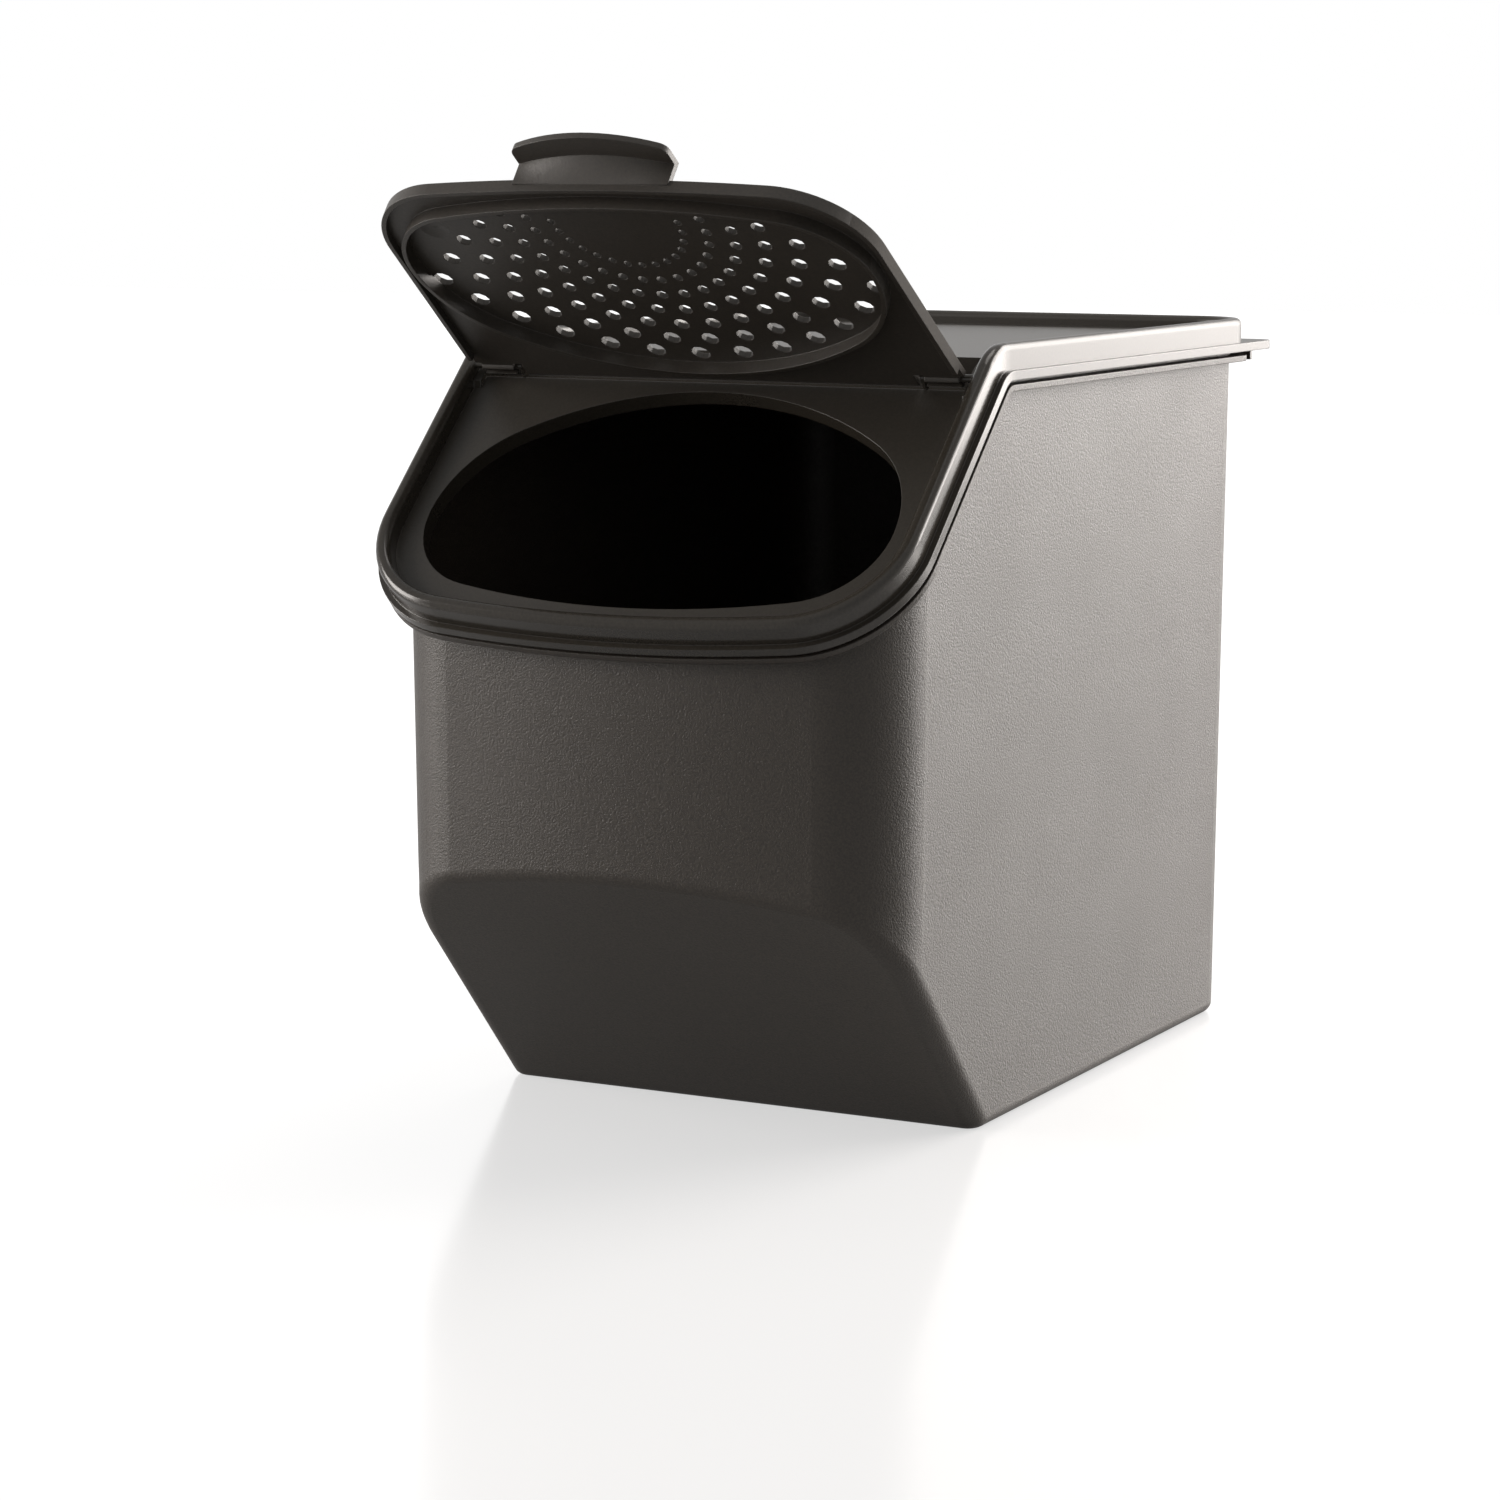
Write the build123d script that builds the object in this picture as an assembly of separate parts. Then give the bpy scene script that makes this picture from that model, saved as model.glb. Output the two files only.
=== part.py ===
"""Potato storage bin: a drafted tub, a lift-off cover and a perforated flap over a slanted mouth."""

import math
import os

from build123d import *

# Frame: X = 0 is the plane of symmetry, the front faces -Y, Z = 0 is the floor. Millimetres.

# Rim: a level stretch at the back, then a slope down to the front, joined by a small bend
FLANGE_HALF = 96.5  # half of the overall width, over the flanges
RIM_HEIGHT = 236.8  # underside of the tub's flange on the level stretch
SLOPE = 43.6  # degrees below horizontal
BEND_Y = -108.8  # where the level and sloping undersides would meet if the bend were sharp
BEND_RADIUS = 6.0
REAR_Y = 115.8  # rear edge of the flange
SLOPE_LENGTH = 116.4  # from the sharp bend to the front edge of the flange, down the slope
FRONT_CORNER = 40.0
REAR_CORNER = 24.0
FRONT_BOW = 520.0

# Tub
WALL = 1.8
WALL_INSET = 6.0  # flange edge to the outside of the wall
DRAFT = 0.6
FOOT_FRONT_Y = -108.4
CHAMFER = 47.6  # slope of the cut-back lower front, degrees above horizontal
BODY_FRONT_Y = -189.2
BODY_CORNER = 30.0
BODY_BOW = 450.0
FLOOR = 2.4
TUB_FLANGE = 2.0
UPSTAND_TOP = 6.2  # the wall goes on above the flange, up into the cover's skirt
CUT_ROUND = 6.5
INNER_CUT_CHAMFER = 3.0  # keeps the wall whole behind the rounding
FOOT_ROUND = 4.0

# Cover: heights are measured square to the rim, from the underside of the tub's flange
SKIRT_BOTTOM = 3.4
SKIRT_TOP = 6.4
RIDGE_TOP = 15.0
RIDGE_OUTER_INSET = 2.0
RIDGE_INNER_INSET = 7.0
RIDGE_WALL = 1.4
PANEL = 1.8
LEVEL_PANEL_TOP = 10.2
SLOPE_PANEL_TOP = 8.5
PANEL_FRONT_Y = -106.3
TROUGH_FLOOR = 0.6  # top of the trough's floor above RIM_HEIGHT
TROUGH_HALF = 88.2
TROUGH_LEAN = 0.6
CHEEK_WALL = 1.4
LEDGE_FRONT = 15.5
UNDERSIDE_LOW = 6.7  # nothing over the tub's wall reaches lower
SHOULDER = 2.2
REAR_LIP = 11.0
REAR_LIP_CORNER = 9.0
CATCH_DEPTH = 4.0
CATCH_WALL = 2.0
CATCH_GAP = 1.4
CATCH_HALF = 90.0

# Mouth in the sloping panel: each half is a flat end arc between two tighter side arcs
MOUTH_HALF = 82.3
MOUTH_WIDEST = 67.0  # its widest line, down the slope from the sharp bend
MOUTH_UPHILL = 55.2
MOUTH_UPHILL_RADIUS = 43.5
MOUTH_DOWNHILL = 35.3
MOUTH_DOWNHILL_RADIUS = 30.0
COLLAR_DEPTH = 4.0
COLLAR_WALL = 1.5

# Hinge
AXIS_DOWN_SLOPE = 6.5
AXIS_HEIGHT = 12.5
BAR_RADIUS = 1.3
BAR_INNER_END = 73.0
POST_WIDTH = 1.2
CLIP_GAP = 0.3
CLIP_WALL = 1.2
CLIP_END_GAP = 1.0
NOTCH_FRONT = 3.2
NOTCH_INNER = 70.6

# Flap, drawn closed: s runs down the slope from the hinge axis, n away from the panel
FLAP_OPEN = 80.6  # opening in the photograph, degrees from closed
FLAP_TOP = 0.5
FLAP_UNDERSIDE = -1.5
FLAP_REAR = -2.5
FLAP_HALF_REAR = 88.2
FLAP_HALF_FRONT = 84.8
FLAP_LENGTH = 101.0
FLAP_CORNER = 30.0
FLAP_BOW = 650.0
EDGE_START = 7.5
EDGE_DEPTH = 2.2
EDGE_WALL = 1.6
PLUG_GAP = 0.7
PLUG_DEPTH = 4.5
PLUG_WALL = 1.5

# Vent: rings of holes round a bare half-moon, growing outwards
RING_COUNTS = (15, 16, 17, 16, 15, 14, 13)
RING_CENTRE = 82.0
RING_FIRST = 22.0
RING_STEP = 7.9
RING_WIDENING = 0.0065
RING_ANGLE = 12.9
RING_ANGLE_STEP = 0.4
HOLE_FIRST = 2.8
HOLE_GROWTH = 0.62
HOLE_SIDES = 10
DIMPLE_X = -66.0
DIMPLE_S = 78.0
DIMPLE_RADIUS = 5.2
DIMPLE_DEPTH = 0.8

# Grip
GRIP_HALF = 26.8
GRIP_RISE = 8.0
GRIP_BOW = 6.0
GRIP_REACH = 7.0
GRIP_WALL = 2.0
GRIP_CORNER = 4.0

SLOPE_RAD = math.radians(SLOPE)
BEND_TANGENT = BEND_RADIUS * math.tan(SLOPE_RAD / 2)
SPAN = 400.0

# On both planes local y runs uphill, and local z away from the tub
LEVEL = Plane(origin=(0, BEND_Y, RIM_HEIGHT), x_dir=(1, 0, 0), z_dir=(0, 0, 1))
SLANT = Plane(
    origin=(0, BEND_Y, RIM_HEIGHT),
    x_dir=(1, 0, 0),
    z_dir=(0, -math.sin(SLOPE_RAD), math.cos(SLOPE_RAD)),
)
BEND_AXIS = Axis(
    (0, BEND_Y + BEND_TANGENT, RIM_HEIGHT - BEND_RADIUS),
    (1, 0, 0),
)

AXIS_PLANE = Plane(SLANT * Pos(0, -AXIS_DOWN_SLOPE, AXIS_HEIGHT))
HINGE_AXIS = Axis(AXIS_PLANE.origin, (1, 0, 0))


def bowed_front(half, length, bow_radius, corner, back, back_half=None):
    """Face from local y = back to a bowed edge at y = -length, with round front corners."""
    sag = bow_radius - math.sqrt(bow_radius**2 - half**2)
    side_end = -(length - sag)
    wide = back_half or half
    outline = Polyline((-half, side_end), (-wide, back), (wide, back), (half, side_end))
    outline += ThreePointArc((half, side_end), (0, -length), (-half, side_end))
    face = make_face(outline.edges())
    return fillet(face.vertices().sort_by(Axis.Y)[:2], corner)


def level_face(inset):
    """The level stretch of the rim, drawn in from the flange's edge by inset."""
    half = FLANGE_HALF - inset
    length = REAR_Y - BEND_Y - inset - BEND_TANGENT
    face = Pos(0, BEND_TANGENT + length / 2) * Rectangle(2 * half, length)
    return fillet(face.vertices().sort_by(Axis.Y)[-2:], REAR_CORNER - inset)


def slant_face(inset):
    """The sloping stretch of the rim, drawn in from the flange's edge by inset."""
    return bowed_front(
        FLANGE_HALF - inset,
        SLOPE_LENGTH - inset,
        FRONT_BOW - inset,
        FRONT_CORNER - inset,
        -BEND_TANGENT,
    )


def bend_sector(x_low, x_high, low, high):
    """The rounded bend between the two stretches, for x from x_low to x_high."""
    profile = Plane.XZ.offset(-(BEND_Y + BEND_TANGENT)) * Pos(
        (x_low + x_high) / 2, RIM_HEIGHT + (low + high) / 2
    ) * Rectangle(x_high - x_low, high - low)
    return revolve(profile, axis=BEND_AXIS, revolution_arc=SLOPE)


def band(outer, inner, low, high):
    """A ring that follows the whole rim, between two insets and two heights."""
    level = extrude(LEVEL.offset(low) * (level_face(outer) - level_face(inner)), high - low)
    slant = extrude(SLANT.offset(low) * (slant_face(outer) - slant_face(inner)), high - low)
    right = bend_sector(FLANGE_HALF - inner, FLANGE_HALF - outer, low, high)
    return level + slant + right + mirror(right, Plane.YZ)


def under_rim(height):
    """Everything below the rim surface at the given height."""
    radius = BEND_RADIUS + height
    tangent = radius * math.tan(SLOPE_RAD / 2)
    bend_y = BEND_Y - height * math.tan(SLOPE_RAD / 2)
    top = RIM_HEIGHT + height
    run = SPAN / 2
    outline = Polyline(
        (bend_y - run, top - run * math.tan(SLOPE_RAD)),
        (bend_y, top),
        (REAR_Y + run, top),
        (REAR_Y + run, -SPAN),
        (bend_y - run, -SPAN),
        close=True,
    )
    face = make_face(outline)
    face = fillet(face.vertices().sort_by_distance((bend_y, top))[:1], radius)
    return extrude(Plane.YZ * face, SPAN / 2, both=True)


def tub_prism(inset, bottom):
    """The tub's plan, drafted down from above the rim to the given bottom."""
    top = RIM_HEIGHT + RIDGE_TOP
    half = FLANGE_HALF - WALL_INSET - inset
    front = bowed_front(half, -BODY_FRONT_Y - inset, BODY_BOW - inset, BODY_CORNER - inset, 0)
    rear_edge = REAR_Y - WALL_INSET - inset
    rear = Pos(0, rear_edge / 2) * Rectangle(2 * half, rear_edge)
    rear = fillet(rear.vertices().sort_by(Axis.Y)[-2:], REAR_CORNER - WALL_INSET - inset)
    plan = (front + rear).face()
    prism = extrude(Plane.XY.offset(top) * plan, -(top - bottom), taper=DRAFT)
    right = prism & Pos(SPAN / 2, 0, 0) * Box(SPAN, 2 * SPAN, 2 * SPAN)
    return right + mirror(right, Plane.YZ)


def lower_front_cut(inset):
    """The wedge taken off below the cut-back front, moved in by inset."""
    cut_rad = math.radians(CHAMFER)
    shift = inset / math.sin(cut_rad)
    foot = FOOT_FRONT_Y + shift
    run = 160.0
    outline = Polyline(
        (foot + 5, -5 * math.tan(cut_rad)),
        (foot - run, run * math.tan(cut_rad)),
        (foot - run, -5 * math.tan(cut_rad)),
        close=True,
    )
    return extrude(Plane.YZ * make_face(outline), SPAN / 2, both=True)


def make_tub():
    outside = (tub_prism(0, 0) & under_rim(TUB_FLANGE)) - lower_front_cut(0)
    outside = fillet(cut_edges(outside, 0), CUT_ROUND)
    foot_edges = outside.edges().filter_by(lambda edge: edge.center().Z < 0.5)
    outside = fillet(foot_edges, FOOT_ROUND)
    inside = tub_prism(WALL, FLOOR) - lower_front_cut(WALL)
    inside = chamfer(cut_edges(inside, WALL), INNER_CUT_CHAMFER)
    flange = band(0, WALL_INSET + WALL, 0, TUB_FLANGE)
    upstand = band(WALL_INSET, WALL_INSET + WALL, TUB_FLANGE, UPSTAND_TOP)
    return (outside + flange + upstand) - inside


def cut_edges(body, inset):
    """Edges where the cut-back front, moved in by inset, meets the walls."""
    cut_rad = math.radians(CHAMFER)
    foot = FOOT_FRONT_Y + inset / math.sin(cut_rad)
    found = []
    for edge in body.edges():
        points = [edge.position_at(position) for position in (0.1, 0.5, 0.9)]
        misses = [abs(point.Z - (foot - point.Y) * math.tan(cut_rad)) for point in points]
        if max(misses) < 0.05 and min(point.Z for point in points) > FLOOR + 0.5:
            found.append(edge)
    return found


def mouth_half(grow, reach, radius, way):
    """Arcs of the mouth's outline on the uphill (way 1) or downhill (-1) side of its widest line."""
    half = MOUTH_HALF + grow
    reach += grow
    radius += grow
    end_radius = (half**2 + reach**2 - 2 * half * radius) / (2 * (reach - radius))
    tilt = math.atan2(end_radius - reach, half - radius)
    bulge_x = half - radius + radius * math.cos(tilt / 2)
    bulge_y = way * radius * math.sin(tilt / 2)
    join_x = half - radius + radius * math.cos(tilt)
    join_y = way * radius * math.sin(tilt)
    right = ThreePointArc((half, 0), (bulge_x, bulge_y), (join_x, join_y))
    end = ThreePointArc((join_x, join_y), (0, way * reach), (-join_x, join_y))
    left = ThreePointArc((-join_x, join_y), (-bulge_x, bulge_y), (-half, 0))
    return [right, end, left]


def mouth_face(grow, widest):
    """The mouth's outline, grown outwards, with its widest line at local y = -widest."""
    uphill = mouth_half(grow, MOUTH_UPHILL, MOUTH_UPHILL_RADIUS, 1)
    downhill = mouth_half(grow, MOUTH_DOWNHILL, MOUTH_DOWNHILL_RADIUS, -1)
    return Pos(0, -widest) * make_face(uphill + downhill)


def trough_section():
    """Outlines in the YZ plane: the channel behind the hinge, the space above it, its end wall."""
    tan_slope = math.tan(SLOPE_RAD)
    floor_top = RIM_HEIGHT + TROUGH_FLOOR
    panel_rise = SLOPE_PANEL_TOP / math.cos(SLOPE_RAD)
    meet_y = BEND_Y - (RIM_HEIGHT + panel_rise - floor_top) / tan_slope
    panel_top = RIM_HEIGHT + LEVEL_PANEL_TOP
    run = 6.0
    rear_y = PANEL_FRONT_Y - TROUGH_LEAN
    top_line = [
        (meet_y - run, floor_top - run * tan_slope),
        (meet_y, floor_top),
        (rear_y, floor_top),
        (PANEL_FRONT_Y, panel_top),
    ]
    under_line = [
        (PANEL_FRONT_Y + PANEL, panel_top),
        (rear_y + PANEL, floor_top - PANEL),
        (meet_y + PANEL * math.tan(SLOPE_RAD / 2), floor_top - PANEL),
        (meet_y - run, floor_top - run * tan_slope - PANEL / math.cos(SLOPE_RAD)),
    ]
    walls = make_face(Polyline(*top_line, *under_line, close=True))
    space_top = RIM_HEIGHT + RIDGE_TOP + 10
    rim = [(PANEL_FRONT_Y, space_top), (meet_y - run, space_top)]
    space = make_face(Polyline(*top_line, *rim, close=True))
    closed = make_face(Polyline(top_line[0], top_line[3], *under_line, close=True))
    return walls, space, closed


def trough_cheek():
    """The wall at the trough's right end, and the ledge from it to the ridge."""
    cheek_face = trough_section()[2]
    inner_x = TROUGH_HALF - CHEEK_WALL
    cheek = extrude(Plane.YZ.offset(inner_x) * cheek_face, CHEEK_WALL)
    wall_x = FLANGE_HALF - RIDGE_INNER_INSET + 0.5
    ledge_y = BEND_Y - LEDGE_FRONT
    depth = PANEL_FRONT_Y + PANEL - ledge_y
    block = Pos((inner_x + wall_x) / 2, ledge_y + depth / 2, RIM_HEIGHT)
    block *= Box(wall_x - inner_x, depth, 80)
    ledge = block & (under_rim(LEVEL_PANEL_TOP) - under_rim(UNDERSIDE_LOW))
    return cheek + ledge


def hinge_bar():
    """The right hinge bar, between the ridge's inner wall and its post."""
    outer_end = FLANGE_HALF - RIDGE_INNER_INSET + 0.5
    length = outer_end - BAR_INNER_END
    bar = AXIS_PLANE * Pos((BAR_INNER_END + outer_end) / 2) * Rot(0, 90, 0)
    bar *= Cylinder(BAR_RADIUS, length)
    post_depth = AXIS_HEIGHT - SLOPE_PANEL_TOP + 0.6
    post_x = BAR_INNER_END - POST_WIDTH / 2
    post = AXIS_PLANE * Pos(post_x, 0, -post_depth / 2)
    post *= Box(POST_WIDTH, 2 * BAR_RADIUS, post_depth)
    end = AXIS_PLANE * Pos(post_x) * Rot(0, 90, 0) * Cylinder(BAR_RADIUS, POST_WIDTH)
    return bar + post + end


def make_ridge():
    """The folded channel that drops over the tub's upstand, with its round shoulders."""
    ridge = band(RIDGE_OUTER_INSET, RIDGE_INNER_INSET, SKIRT_BOTTOM, RIDGE_TOP)
    ridge = fillet(ridge.edges().filter_by(is_ridge_top_edge), SHOULDER)
    groove_outer = RIDGE_OUTER_INSET + RIDGE_WALL
    groove_inner = RIDGE_INNER_INSET - RIDGE_WALL
    groove = band(groove_outer, groove_inner, SKIRT_BOTTOM - 1, RIDGE_TOP - PANEL)
    wall_room = band(groove_inner - 0.5, RIDGE_INNER_INSET + 0.5, SKIRT_BOTTOM - 1, UNDERSIDE_LOW)
    return ridge - groove - wall_room


def rim_level(point):
    """Height of a point above the rim's surface, square to it."""
    axis = BEND_AXIS.position
    back = point.Y - axis.Y
    up = point.Z - axis.Z
    if back >= 0:
        return up - BEND_RADIUS
    if -back * math.cos(SLOPE_RAD) >= up * math.sin(SLOPE_RAD):
        return up * math.cos(SLOPE_RAD) - back * math.sin(SLOPE_RAD) - BEND_RADIUS
    return math.hypot(back, up) - BEND_RADIUS


def is_ridge_top_edge(edge):
    for position in (0, 0.5, 1):
        if abs(rim_level(edge.position_at(position)) - RIDGE_TOP) > 0.01:
            return False
    return True


def rear_grip():
    """The lip behind the skirt that a hand lifts the cover by, and the catch under it."""
    deep = REAR_CORNER + REAR_LIP
    lip = Pos(0, REAR_Y - BEND_Y + REAR_LIP - deep / 2) * Rectangle(2 * FLANGE_HALF, deep)
    lip = fillet(lip.vertices().sort_by(Axis.Y)[-2:], REAR_LIP_CORNER)
    lip -= level_face(RIDGE_OUTER_INSET + RIDGE_WALL / 2)
    lip = extrude(LEVEL.offset(SKIRT_BOTTOM) * lip, SKIRT_TOP - SKIRT_BOTTOM)
    catch = Pos(0, REAR_Y + CATCH_GAP + CATCH_WALL / 2, RIM_HEIGHT + SKIRT_BOTTOM - CATCH_DEPTH / 2)
    return lip + catch * Box(2 * CATCH_HALF, CATCH_WALL, CATCH_DEPTH)


def make_cover():
    ridge = make_ridge()
    skirt = band(0, RIDGE_OUTER_INSET + RIDGE_WALL / 2, SKIRT_BOTTOM, SKIRT_TOP)
    overlap = RIDGE_INNER_INSET - RIDGE_WALL / 2
    level = extrude(LEVEL.offset(LEVEL_PANEL_TOP - PANEL) * level_face(overlap), PANEL)
    slant = extrude(SLANT.offset(SLOPE_PANEL_TOP - PANEL) * slant_face(overlap), PANEL)
    walls, space, _ = trough_section()
    inner_half = TROUGH_HALF - CHEEK_WALL
    slant -= extrude(Plane.YZ * space, TROUGH_HALF, both=True)
    channel = extrude(Plane.YZ * walls, TROUGH_HALF, both=True)
    cheek = trough_cheek()
    low_collar = SLOPE_PANEL_TOP - PANEL - COLLAR_DEPTH
    collar = mouth_face(COLLAR_WALL, MOUTH_WIDEST)
    collar = extrude(SLANT.offset(low_collar) * collar, COLLAR_DEPTH + PANEL)
    mouth = SLANT.offset(low_collar - 1) * mouth_face(0, MOUTH_WIDEST)
    cover = ridge + skirt + level + slant + channel + cheek + mirror(cheek, Plane.YZ) + collar
    cover -= extrude(Plane.YZ * space, inner_half, both=True)
    cover -= extrude(mouth, COLLAR_DEPTH + PANEL + 6)
    bar = hinge_bar()
    return cover + bar + mirror(bar, Plane.YZ) + rear_grip()


def flap_outline(inset):
    return bowed_front(
        FLAP_HALF_FRONT - inset,
        FLAP_LENGTH - inset,
        FLAP_BOW - inset,
        FLAP_CORNER - inset,
        -FLAP_REAR,
        FLAP_HALF_REAR - inset,
    )


def vent_holes():
    """Every hole of the vent, on rings that flatten towards the hinge."""
    holes = Sketch()
    for ring, count in enumerate(RING_COUNTS):
        along = RING_FIRST + RING_STEP * ring
        across = along * (1 + RING_WIDENING * ring**2)
        step = RING_ANGLE - RING_ANGLE_STEP * ring
        radius = (HOLE_FIRST + HOLE_GROWTH * ring) / 2
        for hole in range(count):
            angle = math.radians((hole - (count - 1) / 2) * step)
            x = across * math.sin(angle)
            s = RING_CENTRE - along * math.cos(angle)
            holes += Pos(x, -s) * RegularPolygon(radius, HOLE_SIDES)
    return holes


def hinge_clip():
    """The right clip, open on the underside so that it springs over its bar."""
    bore = BAR_RADIUS + CLIP_GAP
    outer = bore + CLIP_WALL
    width = TROUGH_HALF - CHEEK_WALL - BAR_INNER_END - 2 * CLIP_END_GAP
    centre = BAR_INNER_END + CLIP_END_GAP + width / 2
    ring = Rot(0, 90, 0) * (Cylinder(outer, width) - Cylinder(bore, width))
    opening = Pos(0, 0, -outer / 2) * Box(width, 2 * BAR_RADIUS - 0.3, outer)
    web_depth = FLAP_TOP - FLAP_UNDERSIDE
    web_length = NOTCH_FRONT + 1.0 - bore
    web = Pos(0, -(bore + web_length / 2), FLAP_TOP - web_depth / 2)
    web *= Box(width, web_length, web_depth)
    return Pos(centre) * (ring - opening + web)


def flap_grip():
    """The finger grip: a wall that leans out to a bow, and a bowed lip on it."""
    root = FLAP_LENGTH - GRIP_WALL
    foot = make_face(
        Polyline(
            (-GRIP_HALF, -root),
            (GRIP_HALF, -root),
            (GRIP_HALF, -root - GRIP_WALL),
            (-GRIP_HALF, -root - GRIP_WALL),
            close=True,
        )
    )
    crease = bowed_band(root, root + GRIP_WALL)
    wall = loft([Plane.XY.offset(FLAP_UNDERSIDE + 0.2) * foot, Plane.XY.offset(GRIP_RISE) * crease])
    lip = bowed_band(root, root + GRIP_WALL + GRIP_REACH)
    front = lip.vertices().sort_by(Axis.Y)[:2]
    lip = fillet(front, GRIP_CORNER)
    lip = extrude(Plane.XY.offset(GRIP_RISE - GRIP_WALL) * lip, GRIP_WALL)
    return wall + lip


def bowed_band(near, far):
    """Strip across the grip between two equal bows, given where their ends lie."""
    near_bow = ThreePointArc((-GRIP_HALF, -near), (0, -near - GRIP_BOW), (GRIP_HALF, -near))
    far_bow = ThreePointArc((GRIP_HALF, -far), (0, -far - GRIP_BOW), (-GRIP_HALF, -far))
    right = Line((GRIP_HALF, -near), (GRIP_HALF, -far))
    left = Line((-GRIP_HALF, -far), (-GRIP_HALF, -near))
    return make_face([near_bow, right, far_bow, left])


def make_flap():
    plate = extrude(Plane.XY.offset(FLAP_UNDERSIDE) * flap_outline(0), FLAP_TOP - FLAP_UNDERSIDE)
    edge_ring = flap_outline(0) - flap_outline(EDGE_WALL)
    edge = extrude(Plane.XY.offset(FLAP_UNDERSIDE - EDGE_DEPTH) * edge_ring, EDGE_DEPTH)
    edge &= Pos(0, -(EDGE_START + SPAN / 2)) * Box(SPAN, SPAN, SPAN)
    widest = MOUTH_WIDEST - AXIS_DOWN_SLOPE
    plug_ring = mouth_face(-PLUG_GAP, widest) - mouth_face(-PLUG_GAP - PLUG_WALL, widest)
    plug = extrude(Plane.XY.offset(FLAP_UNDERSIDE - PLUG_DEPTH) * plug_ring, PLUG_DEPTH)
    plate -= extrude(Plane.XY.offset(FLAP_UNDERSIDE - 1) * vent_holes(), 4)
    ball = (DIMPLE_RADIUS**2 + DIMPLE_DEPTH**2) / (2 * DIMPLE_DEPTH)
    plate -= Pos(DIMPLE_X, -DIMPLE_S, FLAP_UNDERSIDE + DIMPLE_DEPTH - ball) * Sphere(ball)
    notch_half = (FLAP_HALF_REAR + 4 - NOTCH_INNER) / 2
    notch_length = NOTCH_FRONT - FLAP_REAR + 2
    notch = Pos(NOTCH_INNER + notch_half, -(NOTCH_FRONT - notch_length / 2))
    notch *= Box(2 * notch_half, notch_length, 20)
    clip = hinge_clip()
    closed = plate - notch - mirror(notch, Plane.YZ)
    closed += edge + plug + flap_grip() + clip + mirror(clip, Plane.YZ)
    placed = AXIS_PLANE * closed
    return placed.rotate(HINGE_AXIS, -FLAP_OPEN)


def main():
    os.makedirs("parts", exist_ok=True)
    for name, make in (("tub", make_tub), ("cover", make_cover), ("flap", make_flap)):
        part = make()
        part.label = name
        export_step(part, f"parts/{name}.step")
        print(name, len(part.solids()), round(part.volume))


if __name__ == "__main__":
    main()
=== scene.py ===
import math

import bpy
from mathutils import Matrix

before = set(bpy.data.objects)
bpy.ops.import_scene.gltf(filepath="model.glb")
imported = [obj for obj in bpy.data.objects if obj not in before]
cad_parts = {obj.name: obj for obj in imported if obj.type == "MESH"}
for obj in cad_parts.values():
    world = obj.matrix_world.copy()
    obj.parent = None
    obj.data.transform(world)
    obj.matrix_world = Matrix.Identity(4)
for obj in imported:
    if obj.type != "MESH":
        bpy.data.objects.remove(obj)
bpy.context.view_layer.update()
print("stage: packed bin loaded")

# X is across the bin, -Y out of its slanted front, Z up from the floor, in metres
millimetre = 0.001

rimShape = {
    "height": 236.8 * millimetre,       # underside of the tub's flange, on the level stretch
    "bendY": -108.8 * millimetre,       # where the level and sloping rims would meet
    "slope": math.radians(43.6),
    "panelLow": 6.9 * millimetre,       # the cover's panels lie between these heights over the rim
    "panelHigh": 10.6 * millimetre,
}


def linearColour(hexText):
    # sRGB hex to the linear RGBA that sockets take
    channels = []
    for start in (1, 3, 5):
        value = int(hexText[start:start + 2], 16) / 255
        channels.append(value / 12.92 if value <= 0.04045 else ((value + 0.055) / 1.055) ** 2.4)
    return (*channels, 1)


def addNode(tree, kind, values=None, links=None, **settings):
    # one node with its settings, its socket values and the links that come into it
    node = tree.nodes.new(kind)
    for name, value in settings.items():
        setattr(node, name, value)
    for socket, value in (values or {}).items():
        node.inputs[socket].default_value = value
    for socket, source in (links or {}).items():
        tree.links.new(source, node.inputs[socket])
    return node


def newMaterial(name):
    material = bpy.data.materials.new(name)
    material.use_nodes = True
    material.node_tree.nodes.clear()
    return material, material.node_tree


def dressNode(nodeName, material):
    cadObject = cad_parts[nodeName]
    cadObject.data.materials.clear()
    cadObject.data.materials.append(material)


def mouldedSkin(tree, finish, grainShare, roughness):
    # what all three mouldings share: mould grain on rounded edges, and a little unevenness of tone
    place = addNode(tree, "ShaderNodeTexCoord")
    grain = addNode(tree, "ShaderNodeTexNoise",
                    {"Scale": 1 / finish["grain"], "Detail": 2, "Roughness": 0.6},
                    {"Vector": place.outputs["Object"]})
    tone = addNode(tree, "ShaderNodeMapRange",
                   {"From Min": 0.35, "From Max": 0.65},
                   {"Value": grain.outputs["Fac"]})
    colour = addNode(tree, "ShaderNodeMix",
                     {6: linearColour(finish["colour"]), 7: linearColour(finish["paleFleck"])},
                     {0: tone.outputs["Result"]}, data_type="RGBA")
    softEdge = addNode(tree, "ShaderNodeBevel", {"Radius": finish["edgeRound"]}, samples=6)
    bump = addNode(tree, "ShaderNodeBump",
                   {"Distance": finish["grainDepth"]},
                   {"Strength": grainShare, "Height": grain.outputs["Fac"],
                    "Normal": softEdge.outputs["Normal"]})
    plastic = addNode(tree, "ShaderNodeBsdfPrincipled",
                      {"IOR": finish["ior"]},
                      {"Base Color": colour.outputs[2], "Roughness": roughness,
                       "Normal": bump.outputs["Normal"]})
    addNode(tree, "ShaderNodeOutputMaterial", links={"Surface": plastic.outputs["BSDF"]})


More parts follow.
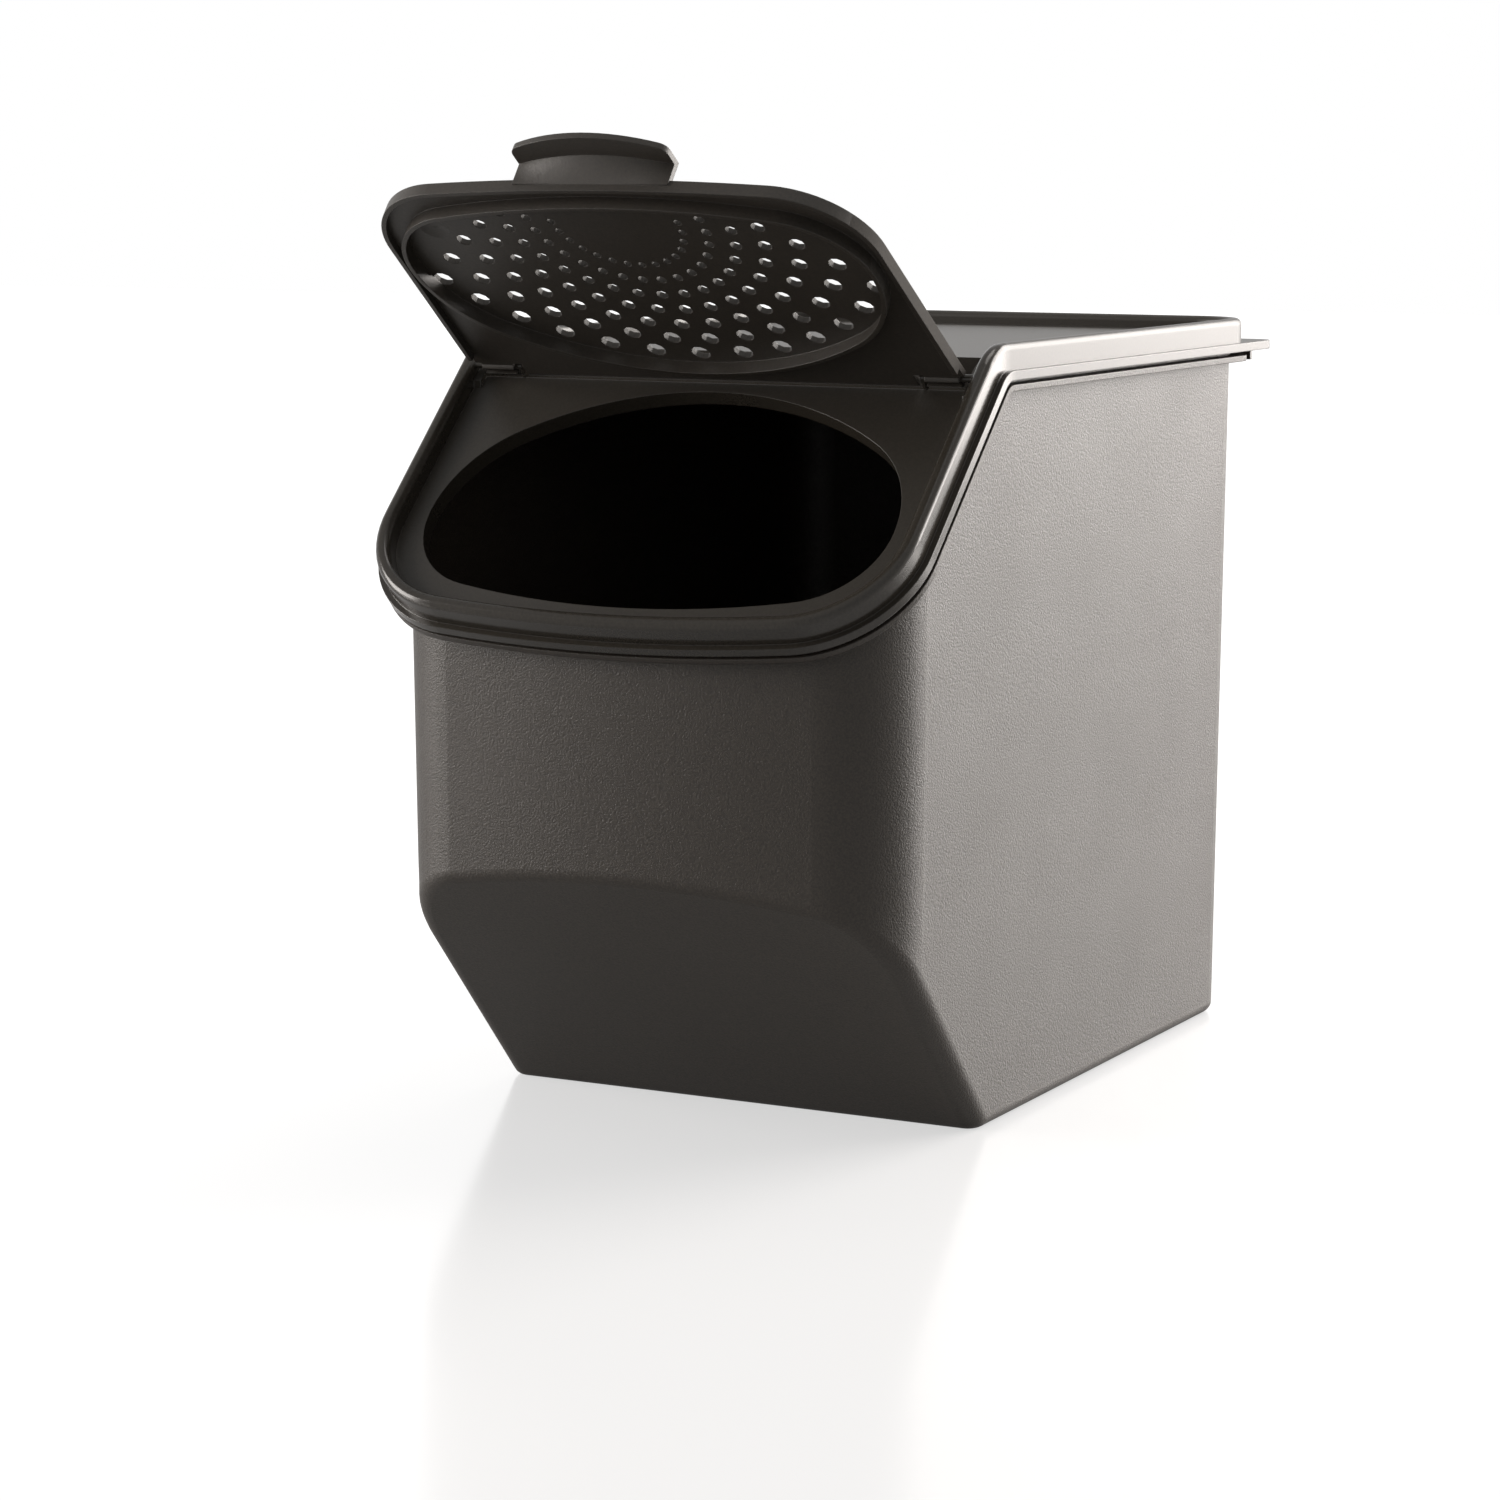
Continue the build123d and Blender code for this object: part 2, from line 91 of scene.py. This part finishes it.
# ---- tub: polypropylene from a spark-eroded mould, whose fine even grain breaks up its gloss
tubFinish = {
    "colour": "#2c2722",
    "paleFleck": "#3a342d",
    "grain": 0.65 * millimetre,         # real spark grain is about 0.2 mm: coarser, so that it shows
    "grainDepth": 0.21 * millimetre,
    "cutGrain": 0.35,                   # share of the grain's depth on the cut-back front
    "cloud": 40 * millimetre,           # slow change of gloss along a wall
    "roughLow": 0.40,
    "roughHigh": 0.47,
    "edgeRound": 0.6 * millimetre,
    "ior": 1.49,
}


def sparkTexturedPolypropylene(finish):
    material, tree = newMaterial("sparkTexturedPolypropylene")
    place = addNode(tree, "ShaderNodeTexCoord")
    facing = addNode(tree, "ShaderNodeSeparateXYZ", links={"Vector": place.outputs["Normal"]})
    # of the outer walls only the cut-back front faces down, and its mould was smoother there
    grainShare = addNode(tree, "ShaderNodeMapRange",
                         {"From Min": -0.3, "From Max": -0.6, "To Min": 1, "To Max": finish["cutGrain"]},
                         {"Value": facing.outputs["Z"]})
    cloud = addNode(tree, "ShaderNodeTexNoise",
                    {"Scale": 1 / finish["cloud"], "Detail": 1},
                    {"Vector": place.outputs["Object"]})
    roughness = addNode(tree, "ShaderNodeMapRange",
                        {"To Min": finish["roughLow"], "To Max": finish["roughHigh"]},
                        {"Value": cloud.outputs["Fac"]})
    mouldedSkin(tree, finish, grainShare.outputs["Result"], roughness.outputs["Result"])
    return material


dressNode("tub", sparkTexturedPolypropylene(tubFinish))
print("stage: tub dressed")


# ---- cover: polypropylene with a polished ridge round panels that are lightly etched
coverFinish = {
    "colour": "#2e2a25",
    "paleFleck": "#34302a",
    "grain": 0.9 * millimetre,
    "grainDepth": 0.04 * millimetre,
    "ridgeGrain": 0.1,                  # share of the grain's depth on the polished ridge
    "ridgeRoughness": 0.2,              # polished on the slope
    "levelRidgeRoughness": 0.37,        # and satin from the bend back
    "panelRoughness": 0.42,
    "edgeRound": 0.45 * millimetre,
    "ior": 1.49,
}


def polishedPolypropyleneWithEtchedPanels(finish, rim):
    material, tree = newMaterial("polishedPolypropyleneWithEtchedPanels")
    place = addNode(tree, "ShaderNodeTexCoord")
    spot = addNode(tree, "ShaderNodeSeparateXYZ", links={"Vector": place.outputs["Object"]})
    facing = addNode(tree, "ShaderNodeSeparateXYZ", links={"Vector": place.outputs["Normal"]})
    levelHeight = addNode(tree, "ShaderNodeMath", {1: rim["height"]}, {0: spot.outputs["Z"]},
                          operation="SUBTRACT")
    forward = addNode(tree, "ShaderNodeMath", {0: rim["bendY"]}, {1: spot.outputs["Y"]},
                      operation="SUBTRACT")
    raised = addNode(tree, "ShaderNodeMath", {1: math.cos(rim["slope"])},
                     {0: levelHeight.outputs[0]}, operation="MULTIPLY")
    slopeHeight = addNode(tree, "ShaderNodeMath", {1: math.sin(rim["slope"])},
                          {0: forward.outputs[0], 2: raised.outputs[0]}, operation="MULTIPLY_ADD")
    height = addNode(tree, "ShaderNodeMath",
                     links={0: levelHeight.outputs[0], 1: slopeHeight.outputs[0]}, operation="MAXIMUM")
    aboveLow = addNode(tree, "ShaderNodeMath", {1: rim["panelLow"]}, {0: height.outputs[0]},
                       operation="GREATER_THAN")
    belowHigh = addNode(tree, "ShaderNodeMath", {1: rim["panelHigh"]}, {0: height.outputs[0]},
                        operation="LESS_THAN")
    faceUp = addNode(tree, "ShaderNodeMath", {1: 0.6}, {0: facing.outputs["Z"]},
                     operation="GREATER_THAN")
    inBand = addNode(tree, "ShaderNodeMath", links={0: aboveLow.outputs[0], 1: belowHigh.outputs[0]},
                     operation="MULTIPLY")
    panel = addNode(tree, "ShaderNodeMath", links={0: inBand.outputs[0], 1: faceUp.outputs[0]},
                    operation="MULTIPLY")
    grainShare = addNode(tree, "ShaderNodeMapRange", {"To Min": finish["ridgeGrain"], "To Max": 1},
                         {"Value": panel.outputs[0]})
    ridge = addNode(tree, "ShaderNodeMapRange",
                    {"From Min": -4 * millimetre, "From Max": 4 * millimetre,
                     "To Min": finish["levelRidgeRoughness"], "To Max": finish["ridgeRoughness"]},
                    {"Value": forward.outputs[0]})
    roughness = addNode(tree, "ShaderNodeMapRange", {"To Max": finish["panelRoughness"]},
                        {"Value": panel.outputs[0], "To Min": ridge.outputs["Result"]})
    mouldedSkin(tree, finish, grainShare.outputs["Result"], roughness.outputs["Result"])
    return material


dressNode("cover", polishedPolypropyleneWithEtchedPanels(coverFinish, rimShape))
print("stage: cover dressed")


# ---- flap: polypropylene from an etched mould, satin all over
flapFinish = {
    "colour": "#2e2a25",
    "paleFleck": "#35302a",
    "grain": 0.9 * millimetre,
    "grainDepth": 0.05 * millimetre,
    "cloud": 30 * millimetre,
    "roughLow": 0.42,
    "roughHigh": 0.50,
    "rimFrom": 81 * millimetre,         # beyond this, to either side, the side edges are matt
    "rimRoughness": 0.85,
    "edgeRound": 0.4 * millimetre,
    "ior": 1.49,
}


def satinPolypropylene(finish):
    material, tree = newMaterial("satinPolypropylene")
    place = addNode(tree, "ShaderNodeTexCoord")
    cloud = addNode(tree, "ShaderNodeTexNoise",
                    {"Scale": 1 / finish["cloud"], "Detail": 1},
                    {"Vector": place.outputs["Object"]})
    satin = addNode(tree, "ShaderNodeMapRange",
                    {"To Min": finish["roughLow"], "To Max": finish["roughHigh"]},
                    {"Value": cloud.outputs["Fac"]})
    spot = addNode(tree, "ShaderNodeSeparateXYZ", links={"Vector": place.outputs["Object"]})
    facing = addNode(tree, "ShaderNodeSeparateXYZ", links={"Vector": place.outputs["Normal"]})
    out = addNode(tree, "ShaderNodeMath", links={0: spot.outputs["X"]}, operation="ABSOLUTE")
    beyond = addNode(tree, "ShaderNodeMath", {1: finish["rimFrom"]}, {0: out.outputs[0]},
                     operation="GREATER_THAN")
    sideways = addNode(tree, "ShaderNodeMath", links={0: facing.outputs["X"]}, operation="ABSOLUTE")
    rim = addNode(tree, "ShaderNodeMath", links={0: beyond.outputs[0], 1: sideways.outputs[0]},
                  operation="MULTIPLY")
    roughness = addNode(tree, "ShaderNodeMapRange", {"To Max": finish["rimRoughness"]},
                        {"Value": rim.outputs[0], "To Min": satin.outputs["Result"]})
    share = addNode(tree, "ShaderNodeMapRange", {"To Min": 0.8, "To Max": 1},
                    {"Value": cloud.outputs["Fac"]})
    mouldedSkin(tree, finish, share.outputs["Result"], roughness.outputs["Result"])
    return material


dressNode("flap", satinPolypropylene(flapFinish))
print("stage: flap dressed")


# ---- floor: glossy white acrylic sheet, shown white to the camera but for the bin's shadow
floorSetting = {
    "half": 6.0,
    "colour": "#969696",
    "roughness": 0.16,
    "ior": 1.35,
    "lift": 0.58,                       # share of white that the camera sees added to the floor
    "mirrorShare": 0.3,                 # how much of that lift reflections see
}


def glossyWhiteAcrylic(setting):
    material, tree = newMaterial("glossyWhiteAcrylic")
    sheet = addNode(tree, "ShaderNodeBsdfPrincipled",
                    {"Base Color": linearColour(setting["colour"]), "Roughness": setting["roughness"],
                     "IOR": setting["ior"]})
    ray = addNode(tree, "ShaderNodeLightPath")
    mirrored = addNode(tree, "ShaderNodeMath", {1: setting["mirrorShare"]},
                       {0: ray.outputs["Is Glossy Ray"]}, operation="MULTIPLY")
    seen = addNode(tree, "ShaderNodeMath", links={0: ray.outputs["Is Camera Ray"],
                                                  1: mirrored.outputs[0]}, operation="MAXIMUM")
    strength = addNode(tree, "ShaderNodeMath", {1: setting["lift"]}, {0: seen.outputs[0]},
                       operation="MULTIPLY")
    glow = addNode(tree, "ShaderNodeEmission", links={"Strength": strength.outputs[0]})
    both = addNode(tree, "ShaderNodeAddShader", links={0: sheet.outputs["BSDF"],
                                                       1: glow.outputs["Emission"]})
    addNode(tree, "ShaderNodeOutputMaterial", links={"Surface": both.outputs["Shader"]})
    return material


def makeFloor(setting):
    half = setting["half"]
    mesh = bpy.data.meshes.new("studioFloor")
    mesh.from_pydata([(-half, -half, 0), (half, -half, 0), (half, half, 0), (-half, half, 0)],
                     [], [(0, 1, 2, 3)])
    floor = bpy.data.objects.new("studioFloor", mesh)
    bpy.context.scene.collection.objects.link(floor)
    mesh.materials.append(glossyWhiteAcrylic(setting))


makeFloor(floorSetting)
print("stage: floor laid")


# ---- studio: white wall behind, dim room in front and above, two softboxes
studioSetting = {
    "wall": 1.0,
    "room": 0.45,
    "warmWhite": "#fff9f4",
    "boxes": {
        "rightSoftbox": {"at": (0.95, 1.35, 0.68), "aim": (0.1, 0.0, 0.2), "size": (1.5, 1.25), "power": 55},
        "leftSoftbox": {"at": (-1.75, -0.9, 0.65), "aim": (-0.05, 0.0, 0.15), "size": (0.9, 1.2), "power": 37},
        "topSoftbox": {"at": (0.2, 0.5, 2.4), "aim": (0.0, 0.0, 0.1), "size": (1.2, 1.2), "power": 14},
    },
}


def makeWorld(setting):
    world = bpy.data.worlds.new("studioRoom")
    world.use_nodes = True
    tree = world.node_tree
    tree.nodes.clear()
    place = addNode(tree, "ShaderNodeTexCoord")
    towards = addNode(tree, "ShaderNodeSeparateXYZ", links={"Vector": place.outputs["Generated"]})
    # the wall stands behind the bin and fades upwards and towards the front
    back = addNode(tree, "ShaderNodeMapRange", {"From Min": -0.1, "From Max": 0.5},
                   {"Value": towards.outputs["Y"]}, interpolation_type="SMOOTHSTEP")
    low = addNode(tree, "ShaderNodeMapRange", {"From Min": 0.65, "From Max": 0.3},
                  {"Value": towards.outputs["Z"]}, interpolation_type="SMOOTHSTEP")
    wall = addNode(tree, "ShaderNodeMath", links={0: back.outputs["Result"], 1: low.outputs["Result"]},
                   operation="MULTIPLY")
    level = addNode(tree, "ShaderNodeMapRange", {"To Min": setting["room"], "To Max": setting["wall"]},
                    {"Value": wall.outputs[0]})
    ray = addNode(tree, "ShaderNodeLightPath")
    strength = addNode(tree, "ShaderNodeMath", links={0: level.outputs["Result"],
                                                      1: ray.outputs["Is Camera Ray"]},
                       operation="MAXIMUM")
    glow = addNode(tree, "ShaderNodeBackground", {"Color": (1, 1, 1, 1)},
                   {"Strength": strength.outputs[0]})
    addNode(tree, "ShaderNodeOutputWorld", links={"Surface": glow.outputs["Background"]})
    bpy.context.scene.world = world


def makeSoftbox(name, box, hexText):
    data = bpy.data.lights.new(name, "AREA")
    data.color = linearColour(hexText)[:3]
    data.shape = "RECTANGLE"
    data.size, data.size_y = box["size"]
    data.energy = box["power"]
    lamp = bpy.data.objects.new(name, data)
    bpy.context.scene.collection.objects.link(lamp)
    lamp.location = box["at"]
    aim = [goal - start for goal, start in zip(box["aim"], box["at"])]
    flat = math.hypot(aim[0], aim[1])
    lamp.rotation_euler = (math.atan2(flat, -aim[2]), 0, math.atan2(aim[1], aim[0]) - math.pi / 2)


makeWorld(studioSetting)
for boxName, boxSetting in studioSetting["boxes"].items():
    makeSoftbox(boxName, boxSetting, studioSetting["warmWhite"])
print("stage: studio lit")


# ---- camera: the photograph's own viewpoint, a long lens a little above the cover
cameraSetting = {
    "at": (0.60804, -1.26126, 0.31279),
    "downDegrees": 8.52,
    "turnDegrees": 27.63,
    "lens": 96.985,
}


def makeCamera(setting):
    data = bpy.data.cameras.new("photoCamera")
    data.lens = setting["lens"]
    data.sensor_fit = "HORIZONTAL"
    data.sensor_width = 36
    camera = bpy.data.objects.new("photoCamera", data)
    bpy.context.scene.collection.objects.link(camera)
    camera.location = setting["at"]
    camera.rotation_euler = (math.radians(90 - setting["downDegrees"]), 0,
                             math.radians(setting["turnDegrees"]))
    bpy.context.scene.camera = camera


makeCamera(cameraSetting)
bpy.context.scene.view_settings.view_transform = "Standard"
